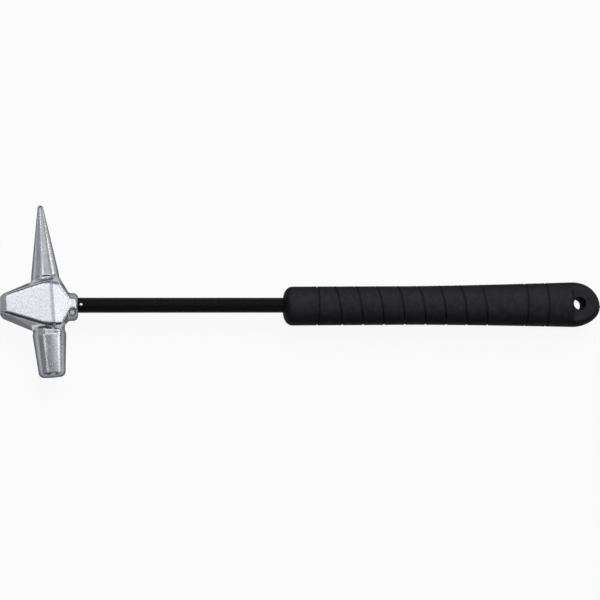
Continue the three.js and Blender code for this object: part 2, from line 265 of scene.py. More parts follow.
head = {
    # block: faces, crests, nose end, and the corners of the parting line. A face's normal has
    # more height than faceTilt, and a flank's has less
    "blockThickness": 26, "ridgeX": 3.4, "ridgeWidth": 2, "ridgeLength": 28.3, "faceShift": 0.2,
    "noseThickness": 19, "noseFaceWidth": 12.6, "noseBevel": 4.3, "noseEndRadius": 6.85,
    "noseFlatAngle": 36, "noseEndHalf": 5.9, "noseCorner": 2.1, "noseFlankWidth": 17,
    "noseFlankShift": -0.7, "waistWidth": 27.2, "waistReach": 6.6, "shoulderWidth": 27.1,
    "shoulderReach": 5.4, "pickCorner": (5.6, 22.5), "pollCorner": (4.1, -22.9),
    "strikeLean": 4.1, "samePlane": 1.5, "faceTilt": 0.8, "rimMargin": 1, "flankRound": 1.7,
    # collar, with the narrow flats that run on from the short faces
    "collarReach": 20.1, "collarRadius": 9.2, "collarShift": -1.15, "collarRound": 3.3,
    "collarFaceWidth": 7.8, "collarFaceLength": 5.2, "collarLength": 5.4, "collarSink": 0.8,
    "collarFlatShift": 1.1, "collarFlatWidth": 5.2, "collarFlatLength": 1.5,
    "collarFlatDrop": 0.35, "collarFlatDepth": 4, "collarFlatSink": 1,
    # pick and poll: lengths and heights are from the crossing
    "rootHeight": 4, "flareHeight": 12.2,
    "pickLength": 66.3, "pickTipRadius": 2, "pickNeckRadius": 9.3, "pickNeckHeight": 18.9,
    "pickFlare": 0.6, "pickUndercut": 0.4, "pickStep": 0.5, "pickRootShift": -0.4,
    "pollLength": 47.5, "pollFaceRadius": 8.8, "pollFaceRound": 3.3,
    "pollShoulderRadius": 11, "pollShoulderHeight": 19.5, "pollNeckDepth": 0.7,
    "pollNeckLength": 2.5, "pollFlare": 0.3,
    # eye
    "eyeRadius": 5.05, "eyeFlare": 0.6, "eyeFlareLength": 9, "eyeChamfer": 0.3, "cutPast": 1,
    # skin
    "voxel": 0.36, "edgeSmoothing": 6, "rootReach": 1.4, "rootSmoothing": 30,
    "seamReach": 0.8, "seamSmoothing": 12,
    # painted shade and painted reflection: the flank's start and ends are the normal's height,
    # which is
    # 0 on the parting line, and the fillet's tilt is how far the normal turns to the strike axis
    "flankStart": 0.3, "flankEnd": 0.82, "collarFlankEnd": 0.98,
    "filletStart": 13, "filletEnd": 21, "filletTilt": (0.7, 0.2),
    "shadeStepWidth": 0.55, "shadeStepStart": -1.5, "shadeStepEnd": 7,
    "crestRange": (1.6, 0.6), "crestMargin": 1,
}
lean = radians(head["strikeLean"])
strike = Vector((-sin(lean), cos(lean), 0))  # toward the pick's tip
sideways = Vector((cos(lean), sin(lean), 0))


def makeHeadMaterial():
    look = headLook
    material, bench, spot = startMaterial("headChrome", crossing)
    sand = noise(bench, spot, look["sandGrain"], detail=2.0)
    cast = noise(bench, spot, look["castGrain"])
    stain = noise(bench, spot, look["stainGrain"], detail=4.0)
    # the pick and the poll were drawn out lengthwise, and show it
    streak = noise(bench, attribute(bench, "drawLine", "Vector"), look["streakGrain"])
    across = bench.node("ShaderNodeSeparateXYZ", None, {"Vector": spot}, output="Y")
    drawn = across.maths("ABSOLUTE", across).between(*look["drawnRange"])
    plain = 1 - drawn * look["drawnSmoothing"]

    def wearRound(centre, wearRange):
        settings = {"operation": "DISTANCE"}
        gap = bench.node("ShaderNodeVectorMath", settings, {0: spot, 1: centre}, output="Value")
        return gap.between(*wearRange, 1.0, 0.0)

    tipWear = wearRound(strike * head["pickLength"] * mm, look["tipRange"])
    faceWear = wearRound(-strike * head["pollLength"] * mm, look["faceRange"])
    paintedFlankShade = attribute(bench, "paintedFlankShade")
    dullness = stain.between(*look["stainRange"]) * look["stainShare"]
    dullness = dullness + cast.between(*look["castRange"]) * look["castShare"]
    dullness = dullness + streak.between(*look["streakRange"]) * drawn * look["streakShare"]
    colour = mixColours(bench, dullness, look["bright"], look["dull"])
    # the crests are painted darker, a painted reflection
    crestShare = attribute(bench, "crestShade") * look["crestShare"]
    colour = mixColours(bench, crestShare, colour, look["crestShade"])
    # painted shade on the flanks, on the collar and along the step under the pick
    colour = mixColours(bench, paintedFlankShade * look["paintedFlankShadeShare"], colour, look["paintedFlankShade"])
    colour = mixColours(bench, tipWear * look["tipShare"], colour, look["wornTip"])
    rough = roughBetween(sand, look) + faceWear * look["faceRough"] + tipWear * look["tipRough"]
    rough = rough + paintedFlankShade * look["flankRough"] + drawn * look["drawnRough"]
    height = cast * plain * look["castDepth"] + sand * plain * look["sandDepth"]
    height = height + streak * drawn * look["streakDepth"]
    constants = {"Metallic": 1.0, "Specular Tint": look["edgeTint"]}
    finishMaterial(bench, colour, rough, height, constants)
    return material


def makeBlock():
    # two ridged faces over a wider parting line, as the hull of its corners
    size = head
    ridgeZ = size["blockThickness"] / 2
    noseZ = size["noseThickness"] / 2
    noseFaceX = -noseReach + size["noseBevel"]
    collarFaceX = size["collarReach"] - size["collarFaceLength"]
    radius = size["collarRadius"]
    ridgeFront = size["ridgeX"] - size["ridgeWidth"] / 2
    ridgeBack = size["ridgeX"] + size["ridgeWidth"] / 2
    longSlope = (ridgeZ - noseZ) / (ridgeFront - noseFaceX)
    shortSlope = (ridgeZ - radius) / (collarFaceX - ridgeBack)
    waistX = size["ridgeX"] - size["waistReach"]
    waistZ = ridgeZ - longSlope * (ridgeFront - waistX)
    shoulderX = size["ridgeX"] + size["shoulderReach"]
    shoulderZ = ridgeZ - shortSlope * (shoulderX - ridgeBack)
    noseEndY = size["noseEndRadius"] * tan(radians(size["noseFlatAngle"]))
    bm = bmesh.new()

    def corner(x, y, z):
        bm.verts.new((x, y, z))

    def leaningCorner(x, y, z):
        # on a line along the strike axis
        corner(x - y * tan(lean), y, z)

    def edgeY(side, name, shift="faceShift"):
        return size[shift] + side * size[name] / 2

    corner(*size["pickCorner"], 0)
    corner(*size["pollCorner"], 0)
    for side in (-1, 1):
        corner(-noseReach, size["noseFlankShift"] + side * size["noseEndHalf"], 0)
        noseFlankY = edgeY(side, "noseFlankWidth", shift="noseFlankShift")
        corner(-noseReach + size["noseCorner"], noseFlankY, 0)
        collarY = size["collarShift"] + side * (radius - size["collarSink"])
        corner(size["collarReach"] - size["collarLength"], collarY, 0)
        for face in (-1, 1):
            corner(-noseReach, side * noseEndY, face * size["noseEndRadius"])
            leaningCorner(noseFaceX, edgeY(side, "noseFaceWidth"), face * noseZ)
            leaningCorner(waistX, edgeY(side, "waistWidth"), face * waistZ)
            leaningCorner(ridgeFront, edgeY(side, "ridgeLength"), face * ridgeZ)
            leaningCorner(ridgeBack, edgeY(side, "ridgeLength"), face * ridgeZ)
            leaningCorner(shoulderX, edgeY(side, "shoulderWidth"), face * shoulderZ)
            corner(collarFaceX, edgeY(side, "collarFaceWidth"), face * radius)
    bmesh.ops.convex_hull(bm, input=bm.verts)
    bmesh.ops.dissolve_limit(
        bm, angle_limit=radians(size["samePlane"]), verts=bm.verts, edges=bm.edges,
    )
    bmesh.ops.recalc_face_normals(bm, faces=bm.faces)

    def betweenFaceAndFlank(edge):
        tilts = sorted(abs(side.normal.z) for side in edge.link_faces)
        onFaces = all(vert.co.x > noseFaceX - size["rimMargin"] for vert in edge.verts)
        return onFaces and tilts[0] < size["faceTilt"] < tilts[1]

    rims = [edge for edge in bm.edges if betweenFaceAndFlank(edge)]
    bmesh.ops.bevel(
        bm, geom=rims, offset=size["flankRound"], segments=5, profile=0.5, affect="EDGES",
        material=-1, clamp_overlap=True,
    )
    bmesh.ops.recalc_face_normals(bm, faces=bm.faces)
    print("block rims rounded", len(rims))
    return toObject(bm, "block")


def flaredRoot(neck, flare, start, end, steps=6):
    # from [neck + flare, start] in to [neck, end]
    shares = [i / steps for i in range(steps + 1)]
    return [[neck + flare * (1 - share) ** 2, start + (end - start) * share] for share in shares]


def makePick():
    size = head
    neck = size["pickNeckRadius"]
    tip = size["pickTipRadius"]
    root = neck - size["pickUndercut"]
    stepStart = size["pickNeckHeight"] - size["pickStep"]
    stepMiddle = size["pickNeckHeight"] - size["pickStep"] / 2
    profile = [[0, size["rootHeight"]], [root + size["pickFlare"], size["rootHeight"]]]
    profile += flaredRoot(root, size["pickFlare"], size["flareHeight"], stepStart)
    profile += [[neck, size["pickNeckHeight"]]]
    profile += quarterRound(tip, size["pickLength"] - tip, tip, tip, steps=8)
    bm = spinProfile(profile, steps=128)
    rootVerts = [vert for vert in bm.verts if vert.co.z < stepMiddle]
    bmesh.ops.translate(bm, verts=rootVerts, vec=(size["pickRootShift"], 0, 0))
    turn = Matrix.Rotation(lean, 4, "Z") @ Matrix.Rotation(-pi / 2, 4, "X")
    bmesh.ops.transform(bm, verts=bm.verts, matrix=turn)
    return toObject(bm, "pick")


def makePoll():
    size = head
    shoulder = size["pollShoulderRadius"]
    neck = shoulder - size["pollNeckDepth"]
    neckEnd = size["pollShoulderHeight"] - size["pollNeckLength"]
    rounding = size["pollFaceRound"]
    roundStart = size["pollLength"] - rounding
    profile = [[0, size["rootHeight"]], [neck + size["pollFlare"], size["rootHeight"]]]
    profile += flaredRoot(neck, size["pollFlare"], size["flareHeight"], neckEnd)
    profile += [[shoulder, size["pollShoulderHeight"]]]
    profile += quarterRound(size["pollFaceRadius"], roundStart, rounding, rounding, steps=10)
    profile += [[0, size["pollLength"]]]
    turn = Matrix.Rotation(lean, 4, "Z") @ Matrix.Rotation(pi / 2, 4, "X")
    return spinPiece("poll", profile, steps=128, matrix=turn)


def makeCollar():
    size = head
    rounding = size["collarRound"]
    roundStart = size["collarReach"] - rounding
    profile = [[0, 0], [size["collarRadius"], 0]]
    profile += quarterRound(size["collarRadius"], roundStart, rounding, rounding, steps=8)
    profile += [[0, size["collarReach"]]]
    turn = Matrix.Translation((0, size["collarShift"], 0)) @ turnToX
    return spinPiece("collar", profile, steps=128, matrix=turn)


def makeCollarFlats():
    # a hull on each side, from the short face to the collar's end
    size = head
    startX = size["collarReach"] - size["collarFaceLength"] - size["collarFlatSink"]
    endX = size["collarReach"] - size["collarFlatLength"]
    top = size["collarRadius"]
    bm = bmesh.new()
    for face in (-1, 1):
        corners = []
        for side in (-1, 1):
            startY = size["faceShift"] + side * size["collarFaceWidth"] / 2
            endY = size["collarFlatShift"] + side * size["collarFlatWidth"] / 2
            ends = ((startX, startY, top), (endX, endY, top - size["collarFlatDrop"]))
            for x, y, z in ends:
                for height in (z, top - size["collarFlatDepth"]):
                    corners.append(bm.verts.new((x, y, face * height)))
        bmesh.ops.convex_hull(bm, input=corners)
    bmesh.ops.recalc_face_normals(bm, faces=bm.faces)
    return toObject(bm, "collar_flats")


def makeEye():
    size = head
    eye = size["eyeRadius"]
    bell = eye + size["eyeFlare"]
    chamfer = size["eyeChamfer"]
    past = size["cutPast"]
    collarEnd = size["collarReach"]
    profile = [
        [0, -noseReach - past], [bell + chamfer + past, -noseReach - past],
        [bell, -noseReach + chamfer], [eye, -noseReach + size["eyeFlareLength"]],
        [eye, collarEnd - chamfer], [eye + chamfer + past, collarEnd + past],
        [0, collarEnd + past],
    ]
    return spinPiece("eye", profile, steps=96, matrix=turnToX)


def markShadeAndDrawLines(piece):
    # the flank mark is painted shade on the sides, on the collar and in a line under the pick,
    # and the crest mark is a painted darker reflection on the two crests
    size = head
    paintedFlankShade = piece.data.attributes.new("paintedFlankShade", "FLOAT", "POINT")
    crestShade = piece.data.attributes.new("crestShade", "FLOAT", "POINT")
    drawLine = piece.data.attributes.new("drawLine", "FLOAT_VECTOR", "POINT")
    for vert, normal in zip(piece.data.vertices, piece.data.vertex_normals):
        # on the collar the painted shade reaches almost to the top
        onCollar = vert.co.x > size["collarReach"] - size["collarFaceLength"]
        end = size["collarFlankEnd"] if onCollar else size["flankEnd"]
        share = ramp(abs(normal.vector.z), end, size["flankStart"])
        fromCentre = vert.co.dot(strike)
        beside = vert.co.dot(sideways)
        inFillets = size["filletStart"] < abs(fromCentre) < size["filletEnd"]
        if inFillets and abs(beside) < size["pollShoulderRadius"]:
            # the painted shade fades out on the fillets at the roots
            share *= ramp(abs(normal.vector.dot(strike)), *size["filletTilt"])
        if size["shadeStepStart"] < beside < size["shadeStepEnd"]:
            # painted shade in a thin line along the step under the pick
            fromShadeStep = abs(fromCentre - size["pickNeckHeight"] + size["shadeStepWidth"] / 2)
            share = max(share, ramp(fromShadeStep, size["shadeStepWidth"], size["shadeStepWidth"] / 3))
        paintedFlankShade.data[vert.index].value = share * share * (3 - 2 * share)

        fromRidge = abs(vert.co.x - size["ridgeX"] + vert.co.y * tan(lean))
        isHigh = abs(vert.co.z) > size["blockThickness"] / 2 - size["crestMargin"]
        onCrest = isHigh and abs(vert.co.y) < size["ridgeLength"] / 2 + size["crestMargin"]
        crestShade.data[vert.index].value = ramp(fromRidge, *size["crestRange"]) if onCrest else 0

        # place round the strike axis and along it, so that the drawn lines run into the tip
        ring = Vector((beside, vert.co.z)).normalized() * headLook["streakRing"]
        along = fromCentre * mm / headLook["streakStretch"]
        drawLine.data[vert.index].vector = (ring.x, ring.y, along)


def makeHead():
    size = head
    piece = makeBlock()
    parts = [makePick(), makePoll(), makeCollar()]
    blockTree = surfaceTree(piece)
    pickTree, pollTree, collarTree = [surfaceTree(part) for part in parts]
    for part in [*parts, makeCollarFlats()]:
        combine(piece, part, "UNION")
    # one even skin, on which the edges and the roots can be smoothed round
    remesh = piece.modifiers.new("skin", "REMESH")
    remesh.mode = "VOXEL"
    remesh.voxel_size = size["voxel"]
    applyModifiers(piece)

    bm = bmesh.new()
    bm.from_mesh(piece.data)
    smoothVerts(bm, bm.verts, size["edgeSmoothing"])

    def nearBoth(trees, reach):
        # the seam that the block makes with what grows out of it
        close = [vert for vert in bm.verts if blockTree.find_nearest(vert.co, reach)[0]]
        return [
            vert for vert in close if any(tree.find_nearest(vert.co, reach)[0] for tree in trees)
        ]

    smoothVerts(bm, nearBoth([pickTree, pollTree], size["rootReach"]), size["rootSmoothing"])
    smoothVerts(bm, nearBoth([collarTree], size["seamReach"]), size["seamSmoothing"])
    bm.to_mesh(piece.data)
    bm.free()
    combine(piece, makeEye(), "DIFFERENCE")
    piece.name = "forged_head"
    markShadeAndDrawLines(piece)
    place(piece, "head", makeHeadMaterial(), sharpAngle=42)


makeHead()


# Shaft: a painted steel pipe, belled out at the nose and drilled for the pin

shaftLook = {
    "paint": (0.0060, 0.0058, 0.0062),
    "worn": (0.020, 0.0195, 0.020),
    "specular": 0.06,
    "peelGrain": 1.3 * mm, "peelDepth": 0.006 * mm,
    "dustGrain": 0.35 * mm, "dustRange": (0.62, 0.74), "dustShare": 0.6, "dustRough": 0.1,
    "cloudGrain": 14 * mm, "cloudRange": (0.4, 0.7),
    "roughLow": 0.34, "roughHigh": 0.5,
}

shaft = {
    "radius": 5, "bore": 3.4, "bell": 0.6, "bellLength": 9, "recess": 0.3, "edge": 0.25,
    "pinX": 21.9, "pinHole": 1.08, "pinHoleReach": 6, "pinHoleDome": 0.1,
}
shaftStart = -noseReach + shaft["recess"]
bellEnd = -noseReach + shaft["bellLength"]
bellGrowth = shaft["bell"] * (bellEnd - shaftStart) / shaft["bellLength"]
shaftEnd = (shaftHigh.x - crossing.x) / mm


def makeShaftMaterial():
    look = shaftLook
    material, bench, spot = startMaterial("shaftPaint", crossing)
    peel = noise(bench, spot, look["peelGrain"], detail=2.0)
    dust = noise(bench, spot, look["dustGrain"])
    cloud = noise(bench, spot, look["cloudGrain"])
    specks = dust.between(*look["dustRange"]) * cloud.between(*look["cloudRange"])
    colour = mixColours(bench, specks * look["dustShare"], look["paint"], look["worn"])
    rough = roughBetween(cloud, look) + specks * look["dustRough"]
    constants = {"Metallic": 0.0, "Specular IOR Level": look["specular"]}
    finishMaterial(bench, colour, rough, peel * look["peelDepth"], constants)
    return material


def makeCrossBar(radius, reach, dome):
    # a bar through the middle of the shaft, from top to underside
    profile = bothEnds(quarterRound(radius, reach - dome, radius, dome, steps=5))
    matrix = Matrix.Translation((shaft["pinX"], 0, 0))
    return spinPiece("cross_bar", profile, steps=32, matrix=matrix)


def makeShaft():
    size = shaft
    edge = size["edge"]
    outer = size["radius"] + bellGrowth
    inner = size["bore"] + bellGrowth
    profile = [
        [inner, shaftStart], [outer - edge, shaftStart], [outer, shaftStart + edge],
        [size["radius"], bellEnd], [size["radius"], shaftEnd],
        [size["bore"], shaftEnd], [size["bore"], bellEnd], [inner, shaftStart],
    ]
    piece = spinPiece("shaft_tube", profile, steps=96, matrix=turnToX)
    hole = makeCrossBar(size["pinHole"], size["pinHoleReach"], size["pinHoleDome"])
    combine(piece, hole, "DIFFERENCE")
    place(piece, "shaft_pipe", makeShaftMaterial(), sharpAngle=30)


makeShaft()


# Taper plug and cross pin: bare steel

steelLook = {
    "bright": (0.70, 0.70, 0.72),
    "dull": (0.42, 0.42, 0.44),
    "grimeGrain": 1.2 * mm, "grimeRange": (0.45, 0.7), "grimeShare": 0.6,
    "ringPitch": 0.18 * mm, "ringDepth": 0.004 * mm, "ringSway": 1.5,
    "roughLow": 0.24, "roughHigh": 0.42,
}
plug = {
    "length": 13, "lead": 1.2, "gap": 0.06, "edge": 0.2, "dimpleRadius": 1, "dimpleDepth": 0.5,
    "brightness": 1.0,
}
pin = {"radius": 1.0, "proud": 0.25, "dome": 0.3, "brightness": 1.25}


def makeSteelMaterial(name, centreX, brightness):
    # turned rings round a place on the shaft's axis: at a scale of 1, a wave node's rings are
    # tau / 20 apart
    look = steelLook
    centre = crossing + Vector((centreX, 0, 0)) * mm
    material, bench, spot = startMaterial(name, centre)
    grime = noise(bench, spot, look["grimeGrain"], detail=4.0)
    settings = {"wave_type": "RINGS", "rings_direction": "SPHERICAL"}
    values = {
        "Vector": spot, "Scale": tau / look["ringPitch"] / 20, "Distortion": look["ringSway"],
        "Detail": 2.0,
    }
    rings = bench.node("ShaderNodeTexWave", settings, values, output="Fac")
    bright = tuple(min(1.0, shade * brightness) for shade in look["bright"])
    grimeShare = grime.between(*look["grimeRange"]) * look["grimeShare"]
    colour = mixColours(bench, grimeShare, bright, look["dull"])
    rough = roughBetween(grime, look)
    finishMaterial(bench, colour, rough, rings * look["ringDepth"], {"Metallic": 1.0})
    return material


def makePlug():
    size = plug
    inner = shaft["bore"] - size["gap"]
    outer = inner + bellGrowth
    edge = size["edge"]
    end = shaftStart + size["length"]
    profile = [
        [0, shaftStart + size["dimpleDepth"]], [size["dimpleRadius"], shaftStart],
        [outer - edge, shaftStart], [outer, shaftStart + edge], [inner, bellEnd],
        [inner, end - size["lead"]], [inner - size["lead"], end], [0, end],
    ]
    piece = spinPiece("taper_plug", profile, steps=96, matrix=turnToX)
    steel = makeSteelMaterial("plugSteel", shaftStart, size["brightness"])
    place(piece, "expander_plug", steel, sharpAngle=30)


def makePin():
    piece = makeCrossBar(pin["radius"], shaft["radius"] + pin["proud"], pin["dome"])
    piece.name = "cross_pin"
    steel = makeSteelMaterial("pinSteel", shaft["pinX"], pin["brightness"])
    place(piece, "stop_pin", steel, sharpAngle=50)


makePlug()
makePin()


# Grip: one rubber moulding

gripLook = {
    "rubber": (0.0260, 0.0257, 0.0277),
    "pale": (0.0430, 0.0425, 0.0460), "paleShare": 0.6,
    "paintedSideShade": (0.0035, 0.0035, 0.0037), "paintedSideShadeShare": 0.95, "paintedSideShadeTilt": (0.95, 0.51),
    "deep": (0.0020, 0.0020, 0.0022), "deepRange": (-0.05, -0.9), "deepRough": 0.28,
    "specular": 0.05,
    "mouldGrain": 0.7 * mm, "mouldDepth": 0.045 * mm,
    "cloudGrain": 3.5 * mm, "cloudRange": (0.35, 0.7),
    "roughLow": 0.58, "roughHigh": 0.72,
}

grip = {
    # outline: the mouth's place is from the crossing, and all others from the mouth or the butt
    "mouth": 156, "length": 215.8, "width": 26, "buttWidth": 30.4, "depth": 25.7,
    "rise": 1, "riseStart": 0.62, "flareStart": 85, "flarePower": 1.4,
    "mouthRadius": 5.6, "mouthRound": 5.8, "buttLength": 19, "buttDrop": 1.5, "buttDropPower": 4,
    "tabThickness": 16, "tabLength": 21.6, "tabFillet": 4, "tabEdge": 0.8, "wallRise": 0.2,
    "bore": 5.06, "boreEnd": 0.3, "boreEdge": 0.1, "boreEdgeStart": 0.4,
    "holeDiameter": 8, "holeInset": 15.6, "holeRound": 0.7, "cutPast": 1,
    "gateRadius": 0.7, "gateLength": 0.8, "gateSink": 1.6,
    # wrap lines: rings, a spiral, and the groove with its two lips
    "mouthRing": 22.5, "buttRings": [52, 37.8], "wrapStart": 33.2, "wrapPitch": 14.1,
    "wrapSway": 0.035, "wrapTurns": 8, "wrapLead": 0.3, "wrapFade": 0.12,
    "grooveDepth": 0.5, "grooveWidth": 0.55, "lipHeight": 0.1, "lipPlace": 1.15, "lipWidth": 0.5,
    # mesh
    "around": 144, "rowGap": 0.33, "roundSteps": 14, "wallSteps": 12, "buttSteps": 56,
    "weld": 2e-3,
}


def makeGripMaterial():
    look = gripLook
    material, bench, spot = startMaterial("gripRubber", crossing)
    mould = noise(bench, spot, look["mouldGrain"])
    cloud = noise(bench, spot, look["cloudGrain"], detail=4.0)
    hollowShadeShare = attribute(bench, "relief").between(*look["deepRange"])
    cloudShare = cloud.between(*look["cloudRange"]) * look["paleShare"]
    colour = mixColours(bench, cloudShare, look["rubber"], look["pale"])
    # painted shade on the two sides
    colour = mixColours(bench, attribute(bench, "sideShadeMask"), colour, look["paintedSideShade"])
    # painted shade in the grooves and in the hang hole
    colour = mixColours(bench, hollowShadeShare, colour, look["deep"])
    rough = roughBetween(cloud, look) + hollowShadeShare * look["deepRough"]
    constants = {"Metallic": 0.0, "Specular IOR Level": look["specular"]}
    finishMaterial(bench, colour, rough, mould * look["mouldDepth"], constants)
    return material


def softLimit(value, limit, soft):
    # |value| kept under limit, with a rounded edge of the soft reach
    size = abs(value)
    if size <= limit - soft:
        return value
    if size < limit + soft:
        size = size - (size - limit + soft) ** 2 / (4 * soft)
    else:
        size = limit
    return size if value > 0 else -size


def wrapAdvance(turns):
    # how far the spiral has run, with a slight sway in each turn
    return grip["wrapPitch"] * (turns - grip["wrapSway"] * (1 - cos(turns * tau)))


def grooveAt(distance):
    # height at a distance from the middle of a groove, which has a lip on each side
    size = grip
    lip = exp(-((abs(distance) - size["lipPlace"]) / size["lipWidth"]) ** 2)
    groove = exp(-(distance / size["grooveWidth"]) ** 2)
    return size["lipHeight"] * lip - size["grooveDepth"] * groove


def reliefAt(along, angle):
    # height of the wrap lines, at an angle from the pick side over the top
    size = grip
    total = grooveAt(along - size["mouthRing"])
    for ring in size["buttRings"]:
        total += grooveAt(along - size["length"] + ring)
    share = angle / tau
    nearest = floor((along - size["wrapStart"]) / size["wrapPitch"] - share)
    for whole in (nearest - 1, nearest, nearest + 1, nearest + 2):
        turns = whole + share
        fromEnds = min(turns + size["wrapLead"], size["wrapTurns"] - size["wrapLead"] - turns)
        fade = ramp(fromEnds, 0, size["wrapFade"])
        if fade > 0:
            total += fade * grooveAt(along - size["wrapStart"] - wrapAdvance(turns))
    return total


def intoButt(along):
    # share of the domed end that lies before this place
    return max(0, along - grip["length"] + grip["buttLength"]) / grip["buttLength"]


def gripMiddle(along):
    # how far the grip's middle lies to the pick side
    size = grip
    drop = size["buttDrop"] * intoButt(along) ** size["buttDropPower"]
    return size["rise"] * along / size["length"] - size["riseStart"] - drop


def gripHalfWidth(along):
    # before the rounding of the two ends
    size = grip
    share = ramp(along, size["flareStart"], size["length"] - size["buttLength"])
    return (size["width"] + (size["buttWidth"] - size["width"]) * share ** size["flarePower"]) / 2


def gripRows():
    # rows of [distance from the mouth, half width, half depth, height that the tab leaves, lined]
    size = grip
    mouth = size["mouthRadius"]
    bore = size["bore"]
    boreRim = bore + size["boreEdge"]
    full = size["depth"] / 2
    free = full + 1  # over the lips, so that nothing is flattened
    tabZ = size["tabThickness"] / 2
    fillet = size["tabFillet"]
    stepAlong = size["length"] - size["tabLength"]
    boreDepth = shaftEnd + size["boreEnd"] - size["mouth"]
    rows = [
        [boreDepth, 0, 0, full, False], [boreDepth, bore, bore, full, False],
        [size["boreEdgeStart"], bore, bore, full, False],
        [size["boreEdge"], boreRim, boreRim, full, False],
    ]

    def addRow(along, limit):
        width = gripHalfWidth(along)
        depth = full
        if along < size["mouthRound"]:
            turn = acos(1 - along / size["mouthRound"])
            width = mouth + (width - mouth) * sin(turn)
            depth = mouth + (depth - mouth) * sin(turn)
        domeShare = sqrt(max(0, 1 - intoButt(along) ** 2))
        rows.append([along, width * domeShare, depth * domeShare, limit, True])

    for i in range(size["roundSteps"]):
        addRow(size["mouthRound"] * (1 - cos(i / size["roundSteps"] * pi / 2)), free)
    along = size["mouthRound"]
    while along < stepAlong - size["rowGap"]:
        addRow(along, free)
        along += size["rowGap"]

    # down the wall of the tab's step, round its fillet, and along the flat
    wallSteps = size["wallSteps"]
    wallTop = full + size["wallRise"]
    wallEnd = tabZ + fillet
    for i in range(wallSteps + 1):
        addRow(stepAlong, wallTop + (wallEnd - wallTop) * i / wallSteps)
    for i in range(1, wallSteps + 1):
        turn = i / wallSteps * pi / 2
        addRow(stepAlong + fillet * (1 - cos(turn)), wallEnd - fillet * sin(turn))
    dome = size["buttLength"]
    domeStart = size["length"] - dome
    startTurn = asin((stepAlong + fillet - domeStart) / dome)
    for i in range(1, size["buttSteps"] + 1):
        turn = startTurn + (pi / 2 - startTurn) * i / size["buttSteps"]
        addRow(domeStart + dome * sin(turn), tabZ)
    return rows


def makeGripSkin():
    # a grid, with its rows wrapped round the grip's axis and its ends drawn together
    size = grip
    rows = gripRows()
    bm = bmesh.new()
    bmesh.ops.create_grid(bm, x_segments=len(rows) - 1, y_segments=size["around"], size=1)
    relief = bm.verts.layers.float.new("relief")
    for vert in bm.verts:
        rowNumber = round((vert.co.x + 1) / 2 * (len(rows) - 1))
        along, width, depth, limit, lined = rows[rowNumber]
        angle = (vert.co.y + 1) / 2 * tau
        lift = reliefAt(along, angle) if lined else 0
        middle = gripMiddle(along) if lined else 0
        y = middle + (width + lift) * cos(angle)
        z = softLimit((depth + lift) * sin(angle), limit, size["tabEdge"])
        vert[relief] = lift
        vert.co = (size["mouth"] + along, y, z)
    bmesh.ops.remove_doubles(bm, verts=bm.verts, dist=size["weld"])
    bmesh.ops.recalc_face_normals(bm, faces=bm.faces)
    print("grip open edges", sum(1 for edge in bm.edges if not edge.is_manifold))
    return toObject(bm, "grip_moulding")


def holeMiddle():
    along = grip["length"] - grip["holeInset"]
    return Vector((grip["mouth"] + along, gripMiddle(along), 0))


def makeHangHole():
    size = grip
    radius = size["holeDiameter"] / 2
    tabZ = size["tabThickness"] / 2
    rounding = size["holeRound"]
    rim = quarterRound(radius, tabZ - rounding, -rounding, rounding, steps=8)
    rim += [[radius + rounding, tabZ + size["cutPast"]], [0, tabZ + size["cutPast"]]]
    matrix = Matrix.Translation(holeMiddle())
    return spinPiece("hang_hole", bothEnds(rim), steps=64, matrix=matrix)


def makeGateMark():
    size = grip
    radius = size["gateRadius"]
    profile = [[0, -size["gateSink"]], [radius, -size["gateSink"]]]
    profile += quarterRound(radius, 0, radius, size["gateLength"], steps=6)
    spot = Matrix.Translation((size["mouth"] + size["length"], gripMiddle(size["length"]), 0))
    return spinPiece("gate_mark", profile, steps=32, matrix=spot @ turnToX)


def markPaintedShade(piece):
    # the side mark is painted shade, near 1 on the two sides, and relief is -1 in the hang hole
    # for painted shade there
    size = grip
    radius = size["holeDiameter"] / 2
    relief = piece.data.attributes["relief"]
    sideShadeMask = piece.data.attributes.new("sideShadeMask", "FLOAT", "POINT")
    middle = holeMiddle().xy
    for vert, normal in zip(piece.data.vertices, piece.data.vertex_normals):
        # the two sides are painted darker than the two faces: painted shade where the surface
        # turns away from the light above
        share = ramp(abs(normal.vector.z), *gripLook["paintedSideShadeTilt"])
        sideShadeMask.data[vert.index].value = gripLook["paintedSideShadeShare"] * share
        # the hole's wall gets painted shade, as the grooves do
        gap = (vert.co.xy - middle).length - radius
        if gap < size["holeRound"]:
            relief.data[vert.index].value = -ramp(gap, size["holeRound"], 0)


def makeGrip():
    piece = makeGripSkin()
    combine(piece, makeHangHole(), "DIFFERENCE")
    markPaintedShade(piece)
    combine(piece, makeGateMark(), "UNION")
    piece.name = "rubber_grip"
    place(piece, "grip", makeGripMaterial(), sharpAngle=50)


makeGrip()


# Floor, light and camera

stage = {
    "floorSize": 30,
    "floorDrop": 0.0002,
    "floorColour": (0.92, 0.92, 0.92, 1),
    "floorLift": 0.92,
    "boxDistance": 2.0,
    "sensorWidth": 36,
    "lensFocal": 118.51,
    "clipStart": 0.05,
    "clipEnd": 50,
    "cameraDistance": 1.3168,
    "cameraAlong": -7.03,
    "cameraAcross": -5.94,
    "aimPlace": (167.1 * mm, 3.48 * mm, 0),
    # the room: a grey dome, black to the poll side, and dark past the grip and past the pick
    "dome": (0.41, 0.415, 0.44),
    "shade": (0.03, 0.03, 0.032),
    "backShade": (0.10, 0.10, 0.105),
    "shadeRange": (-0.20, -0.09),
    "pastGripRange": (0.90, 0.97),
    "pastPickRange": (0.62, 0.85),
}

